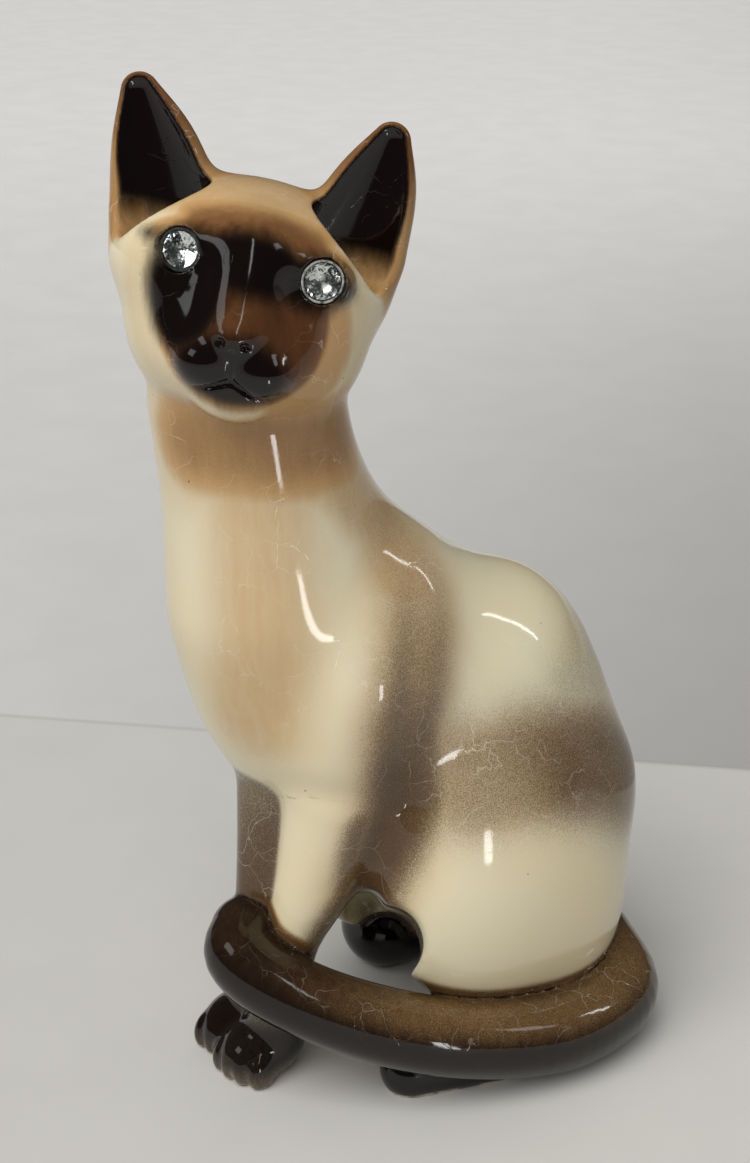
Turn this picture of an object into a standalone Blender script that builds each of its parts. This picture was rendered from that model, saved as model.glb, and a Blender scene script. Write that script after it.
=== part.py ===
"""Seated Siamese cat, a slip-cast glazed earthenware figurine.

The cat sits with its hips towards -Y and turns its chest and face to its own left, +X.
Each casting is modelled as clay: masses that melt into each other, from which every casting keeps
the clay nearest to its own masses. Castings are luted together, so a thin slip joint lies between them.
Units are metres, +Z is up, and the soles rest on Z = 0.
"""

import math

import bmesh
import bpy
from mathutils import Euler, Matrix, Vector

MM = 0.001

# Overall sizes. The masses below have their places on a pattern of PATTERN_SIZE, in millimetres, and are
# stretched to these sizes about PATTERN_MIDDLE, the point of the pattern under the middle of the figure.
FIGURE_WIDTH = 98 * MM
FIGURE_DEPTH = 126 * MM
FIGURE_HEIGHT = 254 * MM
PATTERN_SIZE = Vector((98.4, 126.6, 254.6))
PATTERN_MIDDLE = Vector((5.4, -0.5, 0))

# Castings
WALL = 4.5 * MM
SLIP_JOINT = 0.4 * MM
VENT_DIAMETER = 12 * MM
NECK_RADIUS = 23 * MM
HEAD_WIDTH = 67 * MM
HEAD_CAST_WIDTH = 67
FORELEG_RADIUS = 8 * MM
SHOULDER_RADIUS = 19 * MM
ELBOW_RADIUS = 15 * MM
PAW_WIDTH = 19 * MM
PAW_LENGTH = 23 * MM
HIND_FOOT_RADIUS = 8.5 * MM
TAIL_ROOT_RADIUS = 12 * MM
TAIL_RADIUS = 10 * MM
TAIL_TIP_RADIUS = 9.6 * MM
EAR_TIP_RADIUS = 4.4 * MM
EAR_RIM = 1.8 * MM
EAR_FLATNESS = 1.6

# Eye stones, set in foil cups in the sockets of the head
STONE_DIAMETER = 8 * MM
STONE_TABLE_DIAMETER = 4.4 * MM
STONE_CROWN_HEIGHT = 1.5 * MM
STONE_GIRDLE_HEIGHT = 0.5 * MM
STONE_PAVILION_HEIGHT = 2.6 * MM
STONE_CULET_DIAMETER = 1 * MM
STONE_FACETS = 12
STONE_PROUD = 1.2 * MM
FOIL_THICKNESS = 0.5 * MM
FOIL_SIDES = 24
SETTING_CLEARANCE = 0.3 * MM
EYE_TURN = math.radians(16)

# Places of the eyes in the head's own frame, in millimetres on a head that is HEAD_CAST_WIDTH wide
EYE_SPACING = 31.5
EYE_OFFSET = 2.75
EYE_HEIGHT = 7
EYE_DEPTH = 18.8

# Where the rump and the head sit on the pattern, and how the head is turned
RUMP_CENTRE = (10, 32, 44)
HEAD_CENTRE = (-11, -36, 209)
HEAD_TURN = Euler((math.radians(-8), math.radians(12), math.radians(46)))

# Fineness of the clay and of the finished faces
CLAY_GRAIN = 2.2 * MM
HEAD_GRAIN = 1.2 * MM
CURVE_PIECES = 3
GROUND_SLAB = 20 * MM
SMOOTH_ANGLE = math.radians(40)

CREAM = (0.78, 0.72, 0.55)
TAN = (0.42, 0.27, 0.14)
SEAL_BROWN = (0.035, 0.018, 0.012)
GLASS_CLEAR = (0.9, 0.95, 0.93)
FOIL_SILVER = (0.85, 0.86, 0.88)


class Field:
    """A number or vector at every point of space, as a socket of a Geometry Nodes tree."""

    def __init__(self, tree, socket):
        self.tree = tree
        self.socket = socket

    def node(self, kind, *values, out=0, **settings):
        made = self.tree.nodes.new(kind)
        for name, value in settings.items():
            setattr(made, name, value)
        for index, value in enumerate(values):
            if isinstance(value, Field):
                self.tree.links.new(value.socket, made.inputs[index])
            elif value is not None:
                made.inputs[index].default_value = value
        return Field(self.tree, made.outputs[out])

    def maths(self, operation, first, second=0.0, third=0.0):
        return self.node("ShaderNodeMath", first, second, third, operation=operation)

    def vector(self, operation, first, second=None, out=0):
        return self.node("ShaderNodeVectorMath", first, second, operation=operation, out=out)

    def __add__(self, other):
        return self.maths("ADD", self, other)

    def __sub__(self, other):
        return self.maths("SUBTRACT", self, other)

    def __mul__(self, other):
        return self.maths("MULTIPLY", self, other)

    def __truediv__(self, other):
        return self.maths("DIVIDE", self, other)

    def __neg__(self):
        return self.maths("MULTIPLY", self, -1.0)


# Clay: each function gives the distance to a surface, negative inside the clay


def melt(fields, width):
    joined = fields[0]
    for field in fields[1:]:
        joined = joined.maths("SMOOTH_MIN", joined, field, width)
    return joined


def nearest(fields):
    joined = fields[0]
    for field in fields[1:]:
        joined = joined.maths("MINIMUM", joined, field)
    return joined


def carve(clay, tool, width):
    return clay.maths("SMOOTH_MAX", clay, -tool, width)


def turned(point, angles):
    return point.node(
        "ShaderNodeVectorRotate", point, None, None, None, tuple(angles), rotation_type="EULER_XYZ", invert=True
    )


def lump(point, centre, radii, turn=(0, 0, 0)):
    """An ellipsoid of clay, turned about its centre by angles in degrees."""
    local = turned(point.vector("SUBTRACT", point, Vector(centre)), [math.radians(angle) for angle in turn])
    near = local.vector("LENGTH", local.vector("DIVIDE", local, Vector(radii)), out=1)
    squares = Vector([radius * radius for radius in radii])
    slope = local.vector("LENGTH", local.vector("DIVIDE", local, squares), out=1)
    return near * (near - 1.0) / slope.maths("MAXIMUM", slope, 1.0)


def roll(point, start, end, start_radius, end_radius):
    """A roll of clay between two points, with a radius at each end and a straight taper between them."""
    along = Vector(end) - Vector(start)
    lean = (start_radius - end_radius) / along.length
    local = point.vector("SUBTRACT", point, Vector(start))
    share = local.vector("DOT_PRODUCT", local, along / along.length_squared, out=1)
    foot = share.node("ShaderNodeVectorMath", along, None, None, share, operation="SCALE")
    across = local.vector("LENGTH", local.vector("SUBTRACT", local, foot), out=1)
    share = share - across * (lean / math.sqrt(1 - lean * lean) / along.length)
    share = share.node("ShaderNodeClamp", share, 0.0, 1.0)
    spine = share.node("ShaderNodeVectorMath", along, None, None, share, operation="SCALE")
    distance = local.vector("LENGTH", local.vector("SUBTRACT", local, spine), out=1)
    return distance - (share * (end_radius - start_radius) + start_radius)


def curve_through(stations):
    """More stations, on a smooth curve through the given ones, so that a long roll has no knuckles."""
    values = [Vector((*place, radius)) for place, radius in stations]
    values = [2 * values[0] - values[1], *values, 2 * values[-1] - values[-2]]
    found = []
    for before, start, end, after in zip(values, values[1:], values[2:], values[3:]):
        for index in range(CURVE_PIECES):
            t = index / CURVE_PIECES
            bend = 2 * before - 5 * start + 4 * end - after
            twist = 3 * start - before - 3 * end + after
            found.append(start + (end - before) * t / 2 + bend * t * t / 2 + twist * t ** 3 / 2)
    found.append(values[-2])
    return [(value[:3], value[3]) for value in found]


def long_roll(point, stations):
    """A roll along a smooth curve through stations of (place, radius)."""
    stations = curve_through(stations)
    return nearest([roll(point, a[0], b[0], a[1], b[1]) for a, b in zip(stations, stations[1:])])


# The pattern


def stretch(values):
    size = (FIGURE_WIDTH, FIGURE_DEPTH, FIGURE_HEIGHT)
    return Vector([value * length / pattern for value, length, pattern in zip(values, size, PATTERN_SIZE)])


def spot(place):
    """Where a place on the pattern comes to lie in the finished figure."""
    return stretch(Vector(place) - PATTERN_MIDDLE)


def mass(point, centre, radii, turn=(0, 0, 0)):
    return lump(point, spot(centre), stretch(radii), turn)


def trunk(point):
    """Chest, shoulders, ribs, thighs, rump, spine and neck of the body casting."""
    neck_base, neck_top = spot((-9, -30, 135)), spot((-12, -35, 182))
    spine = [
        (spot((-8, -24, 150)), 18 * MM),
        (spot((-1, -8, 130)), 19 * MM),
        (spot((5, 10, 112)), 24 * MM),
        (spot((10, 24, 96)), 27 * MM),
        (spot((13, 32, 70)), 30 * MM),
    ]
    shoulder_blade, elbow = spot((8, -17, 114)), spot((6, -21, 98))
    body = melt([mass(point, (7, 12, 88), (29, 34, 46), (-32, 0, -5)),
                 mass(point, (3, -14, 116), (25, 25, 34), (-20, 0, 5))], 16 * MM)
    body = melt([body, mass(point, (-9, -30, 122), (25, 23, 44), (6, 0, 15)),
                 mass(point, RUMP_CENTRE, (34, 30, 48), (0, 0, -12))], 12 * MM)
    body = melt([body, mass(point, (26, 12, 58), (21, 33, 40), (-6, 0, -12)),
                 mass(point, (-21, 20, 54), (21, 33, 40), (-6, 0, -12)),
                 roll(point, shoulder_blade, elbow, SHOULDER_RADIUS, ELBOW_RADIUS + 2 * MM),
                 long_roll(point, spine)], 12 * MM)
    body = melt([body, roll(point, neck_base, neck_top, NECK_RADIUS + 1 * MM, NECK_RADIUS)], 16 * MM)
    return carve(carve(body, flank_fold(point), 6 * MM), belly_arch(point), 3 * MM)


def flank_fold(point):
    """The fold between the shoulder and the flank, which lies just outside the clay that it dents."""
    route = [(19, -9, 152), (26, -12, 142), (31, -17, 128), (33, -20, 114), (31, -20, 98), (27, -18, 84)]
    radii = [2 * MM, 3.5 * MM, 4.5 * MM, 4.5 * MM, 4 * MM, 3 * MM]
    return long_roll(point, [(spot(place), radius) for place, radius in zip(route, radii)])


def belly_arch(point):
    """The open arch under the belly, between the forelegs and the thighs."""
    low = roll(point, spot((37, -34, 57)), spot((-14, 8, 14)), 9.5 * MM, 9.5 * MM)
    high = roll(point, spot((34, -38, 66)), spot((-17, 3, 26)), 5 * MM, 5 * MM)
    return melt([low, high], 3 * MM)


def head_place(x, y, z):
    """A place in the head's own frame: +X its left, -Y its face, +Z its crown."""
    return Vector((x, y, z)) * HEAD_WIDTH / HEAD_CAST_WIDTH


def in_head(point):
    return turned(point.vector("SUBTRACT", point, spot(HEAD_CENTRE)), HEAD_TURN)


def head_mass(local, centre, radii, turn=(0, 0, 0)):
    return lump(local, head_place(*centre), head_place(*radii), turn)


def skull(point):
    """Crown, cheeks, muzzle, nose and chin, with the hollows that the eyes lie in."""
    local = in_head(point)
    face = melt([head_mass(local, (1, 4, 3), (32.5, 29, 21)), head_mass(local, (3, 1, -11), (27.5, 27, 21)),
                 head_mass(local, (4, -16, -14), (15, 13, 11.5))], 9 * MM)
    for side in (-1, 1):
        middle = EYE_OFFSET + side * 0.45 * EYE_SPACING
        face = carve(face, head_mass(local, (middle, -30.5, EYE_HEIGHT - 2), (11.5, 9.8, 9)), 6 * MM)
    bridge = roll(local, head_place(2, -17, 10), head_place(3.2, -24.5, -6), 8 * MM, 6.5 * MM)
    face = melt([face, bridge], 9 * MM)
    face = melt([face, head_mass(local, (-2.2, -23.5, -14.5), (7, 7, 6)),
                 head_mass(local, (9.8, -23.5, -14.5), (7, 7, 6))], 3 * MM)
    face = melt([face, head_mass(local, (4.6, -20.5, -22.5), (8, 6.5, 4.6)),
                 head_mass(local, (3, -29.2, -7.6), (4, 3, 2.8))], 3 * MM)
    eyeballs = [head_mass(local, (EYE_OFFSET + side * EYE_SPACING / 2, -15.8, EYE_HEIGHT), (7.8, 5.2, 5.6))
                for side in (-1, 1)]
    return melt([face, *eyeballs], 2 * MM)


def ear(point, stations):
    """A flattened roll that tapers to a round tip, cupped from the front by a smaller roll."""
    local = in_head(point)
    flat = local.vector("MULTIPLY", local, Vector((1, EAR_FLATNESS, 1)))
    outline = [(head_place(*place), radius) for place, radius in stations]
    cup = [(place - Vector((0, 0.95 * radius, 0)), radius - EAR_RIM) for place, radius in outline]
    solid = long_roll(flat, outline) / math.sqrt(EAR_FLATNESS)
    return carve(solid, long_roll(flat, cup) / math.sqrt(EAR_FLATNESS), 1 * MM)


def foreleg(point, stations, paw_centre):
    paw = Vector((PAW_WIDTH / 2, PAW_LENGTH / 2, 8 * MM))
    shank = long_roll(point, [(spot(place), radius) for place, radius in stations])
    return melt([shank, lump(point, spot(paw_centre), paw, (0, 0, 10))], 5 * MM)


def left_foreleg(point):
    stations = [
        ((6, -22, 82), ELBOW_RADIUS),
        ((2, -27.5, 58), FORELEG_RADIUS + 2.6 * MM),
        ((-2, -32.5, 40), FORELEG_RADIUS - 0.6 * MM),
        ((-4, -35, 26), FORELEG_RADIUS - 0.4 * MM),
        ((-6, -36, 10), FORELEG_RADIUS),
    ]
    return foreleg(point, stations, (-8, -39.5, 6))


def right_foreleg(point):
    stations = [
        ((-11, -27, 100), FORELEG_RADIUS + 4 * MM),
        ((-11, -32, 66), FORELEG_RADIUS + 0.6 * MM),
        ((-13, -33, 40), FORELEG_RADIUS),
        ((-17, -32, 10), FORELEG_RADIUS + 0.5 * MM),
    ]
    return foreleg(point, stations, (-21, -36.5, 6))


def left_hind_foot(point):
    return roll(point, spot((33, 8, 6)), spot((23.5, -14.5, 5)), HIND_FOOT_RADIUS, HIND_FOOT_RADIUS - 0.5 * MM)


def right_hind_foot(point):
    return roll(point, spot((-24, 38, 10)), spot((-27, 19, 11.5)), HIND_FOOT_RADIUS + 2.5 * MM,
                HIND_FOOT_RADIUS + 4 * MM)


def tail_clay(point):
    """The tail leaves the rump, lies round the near side, climbs over the forepaws and ends at the far leg."""
    route = [(24, 50, 17), (38, 45, 12.5), (43, 32, 11.4), (43, 16, 12.4), (37, -3, 16), (28, -19, 20.5), (15, -34, 27),
             (3, -43, 33), (-6, -45, 37.5), (-10, -41, 40.5)]
    root = [TAIL_ROOT_RADIUS, TAIL_ROOT_RADIUS, TAIL_RADIUS + 1.2 * MM, TAIL_RADIUS + 0.6 * MM]
    radii = root + [TAIL_RADIUS] * 5 + [TAIL_TIP_RADIUS]
    return long_roll(point, [(spot(place), radius) for place, radius in zip(route, radii)])


def right_ear(point):
    return ear(point, [((-20.5, 6, 13), 13 * MM), ((-25.5, 6, 25), 9.8 * MM), ((-31, 6, 36.5), EAR_TIP_RADIUS)])


def left_ear(point):
    return ear(point, [((22, 6, 13), 13 * MM), ((24.5, 6, 26), 9.8 * MM), ((26.2, 6, 38), EAR_TIP_RADIUS)])


CASTINGS = {
    "torso": trunk,
    "head": skull,
    "ear_left": left_ear,
    "ear_right": right_ear,
    "foreleg_left": left_foreleg,
    "foreleg_right": right_foreleg,
    "hind_foot_left": left_hind_foot,
    "hind_foot_right": right_hind_foot,
    "tail": tail_clay,
}
HEAD_CASTINGS = ("head", "ear_left", "ear_right")


def hollow(point):
    """The drained inside of the cast: the body and neck less their wall, and a chamber in the skull."""
    local = in_head(point)
    chamber = head_mass(local, (1, 9, -4), (23, 15, 17))
    inside = melt([trunk(point) + WALL, chamber], 4 * MM)
    height = point.node("ShaderNodeSeparateXYZ", point, out=2)
    return inside.maths("MAXIMUM", inside, -height + WALL)


def clay_group(name, shape):
    """A shape as a node group, from a point to its distance, so that each casting can use it as one node."""
    group = bpy.data.node_groups.new(name + " clay", "GeometryNodeTree")
    group.interface.new_socket("Point", in_out="INPUT", socket_type="NodeSocketVector")
    group.interface.new_socket("Distance", in_out="OUTPUT", socket_type="NodeSocketFloat")
    distance = shape(Field(group, group.nodes.new("NodeGroupInput").outputs[0]))
    group.links.new(distance.socket, group.nodes.new("NodeGroupOutput").inputs[0])
    return group


def casting_field(point, name, groups):
    """The clay nearest to this casting's own masses, half a slip joint short of its neighbours."""
    masses = {other: point.node("GeometryNodeGroup", point, node_tree=groups[other]) for other in CASTINGS}
    own = masses.pop(name)
    kept = own.maths("MAXIMUM", own, (own - nearest(list(masses.values())) + SLIP_JOINT) / 2.0)
    if name in ("torso", "head"):
        inside = point.node("GeometryNodeGroup", point, node_tree=groups["hollow"])
        kept = kept.maths("MAXIMUM", kept, -inside)
    return kept


# Objects


def set_up(title):
    for obj in list(bpy.data.objects):
        bpy.data.objects.remove(obj)
    parts = bpy.data.collections.new(title)
    cutters = bpy.data.collections.new("Cutters")
    for collection in (parts, cutters):
        bpy.context.scene.collection.children.link(collection)
    return parts, cutters


def glaze(name, colour, roughness, metallic=0.0, transmission=0.0):
    material = bpy.data.materials.new(name)
    material.use_nodes = True
    shader = material.node_tree.nodes["Principled BSDF"]
    shader.inputs["Base Color"].default_value = (*colour, 1)
    shader.inputs["Roughness"].default_value = roughness
    shader.inputs["Metallic"].default_value = metallic
    shader.inputs["Transmission Weight"].default_value = transmission
    return material


def reach():
    """Corners of the block of clay that every casting is cut from."""
    low = spot((-62, -78, -8))
    high = spot((68, 78, 262))
    return low, high


def head_reach():
    """Corners of the block of finer clay round the head, for the face and the thin rims of the ears."""
    half = head_place(52, 52, 52)
    middle = spot(HEAD_CENTRE)
    return middle - half, middle + half


def clay_tree(name, groups):
    tree = bpy.data.node_groups.new(name + " casting", "GeometryNodeTree")
    tree.interface.new_socket("Geometry", in_out="OUTPUT", socket_type="NodeSocketGeometry")
    low, high = head_reach() if name in HEAD_CASTINGS else reach()
    grain = HEAD_GRAIN if name in HEAD_CASTINGS else CLAY_GRAIN
    point = Field(tree, tree.nodes.new("GeometryNodeInputPosition").outputs[0])
    block = tree.nodes.new("GeometryNodeVolumeCube")
    tree.links.new((-casting_field(point, name, groups)).socket, block.inputs["Density"])
    block.inputs["Background"].default_value = -1.0
    block.inputs["Min"].default_value = low
    block.inputs["Max"].default_value = high
    for letter, length in zip("XYZ", high - low):
        block.inputs["Resolution " + letter].default_value = round(length / grain)
    skin = tree.nodes.new("GeometryNodeVolumeToMesh")
    skin.inputs["Threshold"].default_value = 0.0
    tree.links.new(block.outputs["Volume"], skin.inputs["Volume"])
    output = tree.nodes.new("NodeGroupOutput")
    tree.links.new(skin.outputs["Mesh"], output.inputs[0])
    return tree


def add_object(name, mesh, collection, material=None):
    obj = bpy.data.objects.new(name, mesh)
    collection.objects.link(obj)
    if material:
        mesh.materials.append(material)
    return obj


def as_cutter(obj):
    obj.hide_render = True
    obj.display_type = "WIRE"
    return obj


def cut(obj, cutter):
    boolean = obj.modifiers.new("Cut by " + cutter.name, "BOOLEAN")
    boolean.operation = "DIFFERENCE"
    boolean.solver = "EXACT"
    boolean.object = cutter


def cast(name, collection, material, share_of_faces, groups):
    """One casting, as a mesh of the clay with its faces thinned out to the given share."""
    rough = add_object(name + "_clay", bpy.data.meshes.new(name + "_clay"), collection)
    rough.modifiers.new("Clay", "NODES").node_group = clay_tree(name, groups)
    thinned = rough.modifiers.new("Thin out", "DECIMATE")
    thinned.ratio = share_of_faces
    evaluated = rough.evaluated_get(bpy.context.evaluated_depsgraph_get())
    mesh = bpy.data.meshes.new_from_object(evaluated)
    bpy.data.objects.remove(rough)
    keep_largest_body(mesh)
    mesh.shade_smooth()
    mesh.set_sharp_from_angle(angle=SMOOTH_ANGLE)
    mesh.name = name
    mesh.materials.clear()
    return add_object(name, mesh, collection, material)


def keep_largest_body(mesh):
    """Removes crumbs of clay, which a casting's outer slivers can leave beside its body."""
    shape = bmesh.new()
    shape.from_mesh(mesh)
    left = set(shape.verts)
    bodies = []
    while left:
        front = [left.pop()]
        body = set(front)
        while front:
            vertex = front.pop()
            for edge in vertex.link_edges:
                other = edge.other_vert(vertex)
                if other in left:
                    left.discard(other)
                    body.add(other)
                    front.append(other)
        bodies.append(body)
    bodies.sort(key=len, reverse=True)
    crumbs = [vertex for body in bodies[1:] for vertex in body]
    bmesh.ops.delete(shape, geom=crumbs, context="VERTS")
    shape.to_mesh(mesh)
    shape.free()


def ground_cutter(collection):
    """A slab under the table plane, which cuts the soles flat."""
    low, high = reach()
    shape = bmesh.new()
    bmesh.ops.create_cube(shape, size=1.0)
    size = Vector((high.x - low.x, high.y - low.y, GROUND_SLAB)) * 1.2
    centre = Vector(((high.x + low.x) / 2, (high.y + low.y) / 2, -size.z / 2))
    shape.transform(Matrix.LocRotScale(centre, None, size))
    mesh = bpy.data.meshes.new("ground_slab")
    shape.to_mesh(mesh)
    shape.free()
    return as_cutter(add_object("ground_slab", mesh, collection))


def vent_cutter(collection):
    """The drain hole in the base, through which the slip was poured out."""
    shape = bmesh.new()
    under_rump = Vector((*spot(RUMP_CENTRE).xy, 0))
    bmesh.ops.create_cone(shape, cap_ends=True, segments=32, radius1=VENT_DIAMETER / 2, radius2=VENT_DIAMETER / 2,
                          depth=2 * GROUND_SLAB, matrix=Matrix.Translation(under_rump))
    mesh = bpy.data.meshes.new("vent")
    shape.to_mesh(mesh)
    shape.free()
    return as_cutter(add_object("vent", mesh, collection))


def turned_piece(name, profile, sides, collection, material=None):
    """A closed turned shape: the profile holds (radius, height) pairs from its lowest point to its highest."""
    shape = bmesh.new()
    points = [shape.verts.new((radius, 0, height)) for radius, height in profile]
    for first, second in zip(points, points[1:] + points[:1]):
        if first.co.x > 0 or second.co.x > 0:
            shape.edges.new((first, second))
    bmesh.ops.spin(shape, geom=shape.verts[:] + shape.edges[:], cent=(0, 0, 0), axis=(0, 0, 1),
                   angle=math.tau, steps=sides, use_merge=True)
    bmesh.ops.remove_doubles(shape, verts=shape.verts, dist=0.001 * MM)
    bmesh.ops.recalc_face_normals(shape, faces=shape.faces)
    mesh = bpy.data.meshes.new(name)
    shape.to_mesh(mesh)
    shape.free()
    return add_object(name, mesh, collection, material)


def stone_profile():
    """A cut stone from its culet, at the back, to its table, at the front. Height 0 is the girdle's back edge."""
    radius = STONE_DIAMETER / 2
    return [
        (0, -STONE_PAVILION_HEIGHT),
        (STONE_CULET_DIAMETER / 2, -STONE_PAVILION_HEIGHT),
        (radius, 0),
        (radius, STONE_GIRDLE_HEIGHT),
        (STONE_TABLE_DIAMETER / 2, STONE_GIRDLE_HEIGHT + STONE_CROWN_HEIGHT),
        (0, STONE_GIRDLE_HEIGHT + STONE_CROWN_HEIGHT),
    ]


def foil_profile():
    """A foil cup of even thickness that follows the back of the stone at the setting clearance."""
    inner = STONE_DIAMETER / 2 + SETTING_CLEARANCE
    back = -STONE_PAVILION_HEIGHT - SETTING_CLEARANCE
    floor = STONE_CULET_DIAMETER / 2 + SETTING_CLEARANCE
    return [
        (0, back - FOIL_THICKNESS),
        (floor + FOIL_THICKNESS, back - FOIL_THICKNESS),
        (inner + FOIL_THICKNESS, 0),
        (inner + FOIL_THICKNESS, STONE_GIRDLE_HEIGHT),
        (inner, STONE_GIRDLE_HEIGHT),
        (inner, 0),
        (floor, back),
        (0, back),
    ]


def socket_profile():
    """The socket in the head: the foil's outside at the setting clearance, open to the front."""
    radius = STONE_DIAMETER / 2 + 2 * SETTING_CLEARANCE + FOIL_THICKNESS
    back = -STONE_PAVILION_HEIGHT - 2 * SETTING_CLEARANCE - FOIL_THICKNESS
    floor = STONE_CULET_DIAMETER / 2 + 2 * SETTING_CLEARANCE + FOIL_THICKNESS
    mouth = 4 * STONE_DIAMETER
    return [(0, back), (floor, back), (radius, 0), (radius, mouth), (0, mouth)]


def eye_matrix(side):
    """Where a setting lies: its girdle on the brow's slope, its table facing out of the face."""
    forward = Matrix.Rotation(math.radians(90), 4, "X")
    outward = Matrix.Rotation(side * EYE_TURN, 4, "Z")
    seat = head_place(EYE_OFFSET + side * EYE_SPACING / 2, -EYE_DEPTH, EYE_HEIGHT)
    seat.y += STONE_GIRDLE_HEIGHT + STONE_CROWN_HEIGHT - STONE_PROUD
    head = Matrix.LocRotScale(spot(HEAD_CENTRE), HEAD_TURN, None)
    return head @ Matrix.Translation(seat) @ outward @ forward


def add_eye(side_name, side, parts, cutters, glass, foil):
    place = eye_matrix(side)
    stone = turned_piece("eye_stone_" + side_name, stone_profile(), STONE_FACETS, parts, glass)
    cup = turned_piece("eye_foil_" + side_name, foil_profile(), FOIL_SIDES, parts, foil)
    socket = as_cutter(turned_piece("socket_" + side_name, socket_profile(), FOIL_SIDES, cutters))
    for piece in (stone, cup, socket):
        piece.matrix_world = place
    return socket


def build():
    parts, cutters = set_up("Ceramic cat figurine")
    cream = glaze("cream glaze", CREAM, 0.12)
    tan = glaze("tan glaze", TAN, 0.12)
    brown = glaze("seal brown glaze", SEAL_BROWN, 0.08)
    glass = glaze("cut glass", GLASS_CLEAR, 0.02, transmission=1.0)
    foil = glaze("mirror foil", FOIL_SILVER, 0.15, metallic=1.0)
    looks = {"torso": cream, "head": tan, "foreleg_left": cream, "foreleg_right": tan}
    shares = {"torso": 0.13, "head": 0.1, "ear_left": 0.12, "ear_right": 0.12}
    groups = {name: clay_group(name, shape) for name, shape in {**CASTINGS, "hollow": hollow}.items()}
    ground = ground_cutter(cutters)
    vent = vent_cutter(cutters)
    castings = {}
    for name in CASTINGS:
        castings[name] = cast(name, parts, looks.get(name, brown), shares.get(name, 0.26), groups)
    for name in ("torso", "foreleg_left", "foreleg_right", "hind_foot_left", "hind_foot_right", "tail"):
        cut(castings[name], ground)
    cut(castings["torso"], vent)
    for side_name, side in (("left", 1), ("right", -1)):
        cut(castings["head"], add_eye(side_name, side, parts, cutters, glass, foil))


build()
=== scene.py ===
# %% [markdown]
# # A seated Siamese cat in glazed earthenware
# The real figurine is slip-cast in plaster moulds, fired, sprayed with brown stain through an airbrush,
# dipped in a clear glaze that later crazed, and fired again. Two cut stones in foil cups are its eyes. This
# lesson models the castings as clay, sprays them, glazes them, sets the stones and lights the result.
# Everything rides on one fixed frame, the finished CAD model, and takes the place of its plain pieces.

# %% Load the frame
import math

import bmesh
import bpy
from mathutils import Euler, Matrix, Vector


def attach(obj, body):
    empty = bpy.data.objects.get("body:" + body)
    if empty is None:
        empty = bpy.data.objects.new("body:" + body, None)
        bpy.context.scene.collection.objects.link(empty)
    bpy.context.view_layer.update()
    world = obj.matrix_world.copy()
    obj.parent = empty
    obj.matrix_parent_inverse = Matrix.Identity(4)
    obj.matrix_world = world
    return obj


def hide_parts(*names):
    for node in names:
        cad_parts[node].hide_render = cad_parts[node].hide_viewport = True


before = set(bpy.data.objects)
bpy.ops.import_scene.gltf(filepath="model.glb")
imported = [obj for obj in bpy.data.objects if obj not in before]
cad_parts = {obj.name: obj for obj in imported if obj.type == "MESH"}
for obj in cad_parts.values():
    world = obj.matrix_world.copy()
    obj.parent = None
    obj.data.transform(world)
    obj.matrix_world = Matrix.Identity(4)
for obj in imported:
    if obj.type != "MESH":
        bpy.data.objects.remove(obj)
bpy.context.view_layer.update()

MM = 0.001

# %% [markdown]
# ## Writing node trees as sums
# Geometry Nodes and shaders share their Math nodes. Wrapping a socket in a small class lets a sum be written
# as Python, `1 - mask` included, and each operator adds its Math node. Every other node comes from `make`.

# %% A wire that carries a value


class Wire:
    """A number, vector or colour at every point, as an output socket of a node tree."""

    def __init__(self, tree, socket):
        self.tree = tree
        self.socket = socket

    def make(self, kind, settings=None, inputs=None, out=0):
        """Adds a node: its settings first, then the values or links of its sockets."""
        return add_node(self.tree, kind, settings, inputs, out)

    def maths(self, operation, *others):
        return self.make("ShaderNodeMath", {"operation": operation}, dict(enumerate((self, *others))))

    def vector(self, operation, *others, out=0):
        inputs = dict(enumerate((self, *others)))
        return self.make("ShaderNodeVectorMath", {"operation": operation}, inputs, out)

    def scaled(self, factor):
        return self.make("ShaderNodeVectorMath", {"operation": "SCALE"}, {"Vector": self, "Scale": factor})

    def part(self, letter):
        return self.make("ShaderNodeSeparateXYZ", None, {0: self}, "XYZ".index(letter))

    def clamped(self):
        return self.make("ShaderNodeClamp", None, {0: self})

    def step(self, start, end, low=0.0, high=1.0):
        """Goes smoothly from low to high as the value goes from start to end."""
        return self.make("ShaderNodeMapRange", {"interpolation_type": "SMOOTHSTEP"},
                         {0: self, 1: start, 2: end, 3: low, 4: high})

    def __add__(self, other):
        return self.maths("ADD", other)

    def __radd__(self, other):
        return self.maths("ADD", other)

    def __sub__(self, other):
        return self.maths("SUBTRACT", other)

    def __rsub__(self, other):
        return self.make("ShaderNodeMath", {"operation": "SUBTRACT"}, {0: other, 1: self})

    def __mul__(self, other):
        return self.maths("MULTIPLY", other)

    def __rmul__(self, other):
        return self.maths("MULTIPLY", other)

    def __truediv__(self, other):
        return self.maths("DIVIDE", other)

    def __rtruediv__(self, other):
        return self.make("ShaderNodeMath", {"operation": "DIVIDE"}, {0: other, 1: self})

    def __neg__(self):
        return self.maths("MULTIPLY", -1.0)


def add_node(tree, kind, settings=None, inputs=None, out=0):
    node = tree.nodes.new(kind)
    for name, value in (settings or {}).items():
        if name == "stops":
            set_stops(node.color_ramp, value)
        else:
            setattr(node, name, value)
    for key, value in (inputs or {}).items():
        if isinstance(value, Wire):
            tree.links.new(value.socket, node.inputs[key])
        else:
            node.inputs[key].default_value = value
    return Wire(tree, node.outputs[out]) if node.outputs else None


def set_stops(ramp, stops):
    while len(ramp.elements) < len(stops):
        ramp.elements.new(0.5)
    for element, (place, colour) in zip(ramp.elements, stops):
        element.position = place
        element.color = (*colour, 1)


def largest(wires):
    joined = wires[0]
    for wire in wires[1:]:
        joined = joined.maths("MAXIMUM", wire)
    return joined


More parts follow.
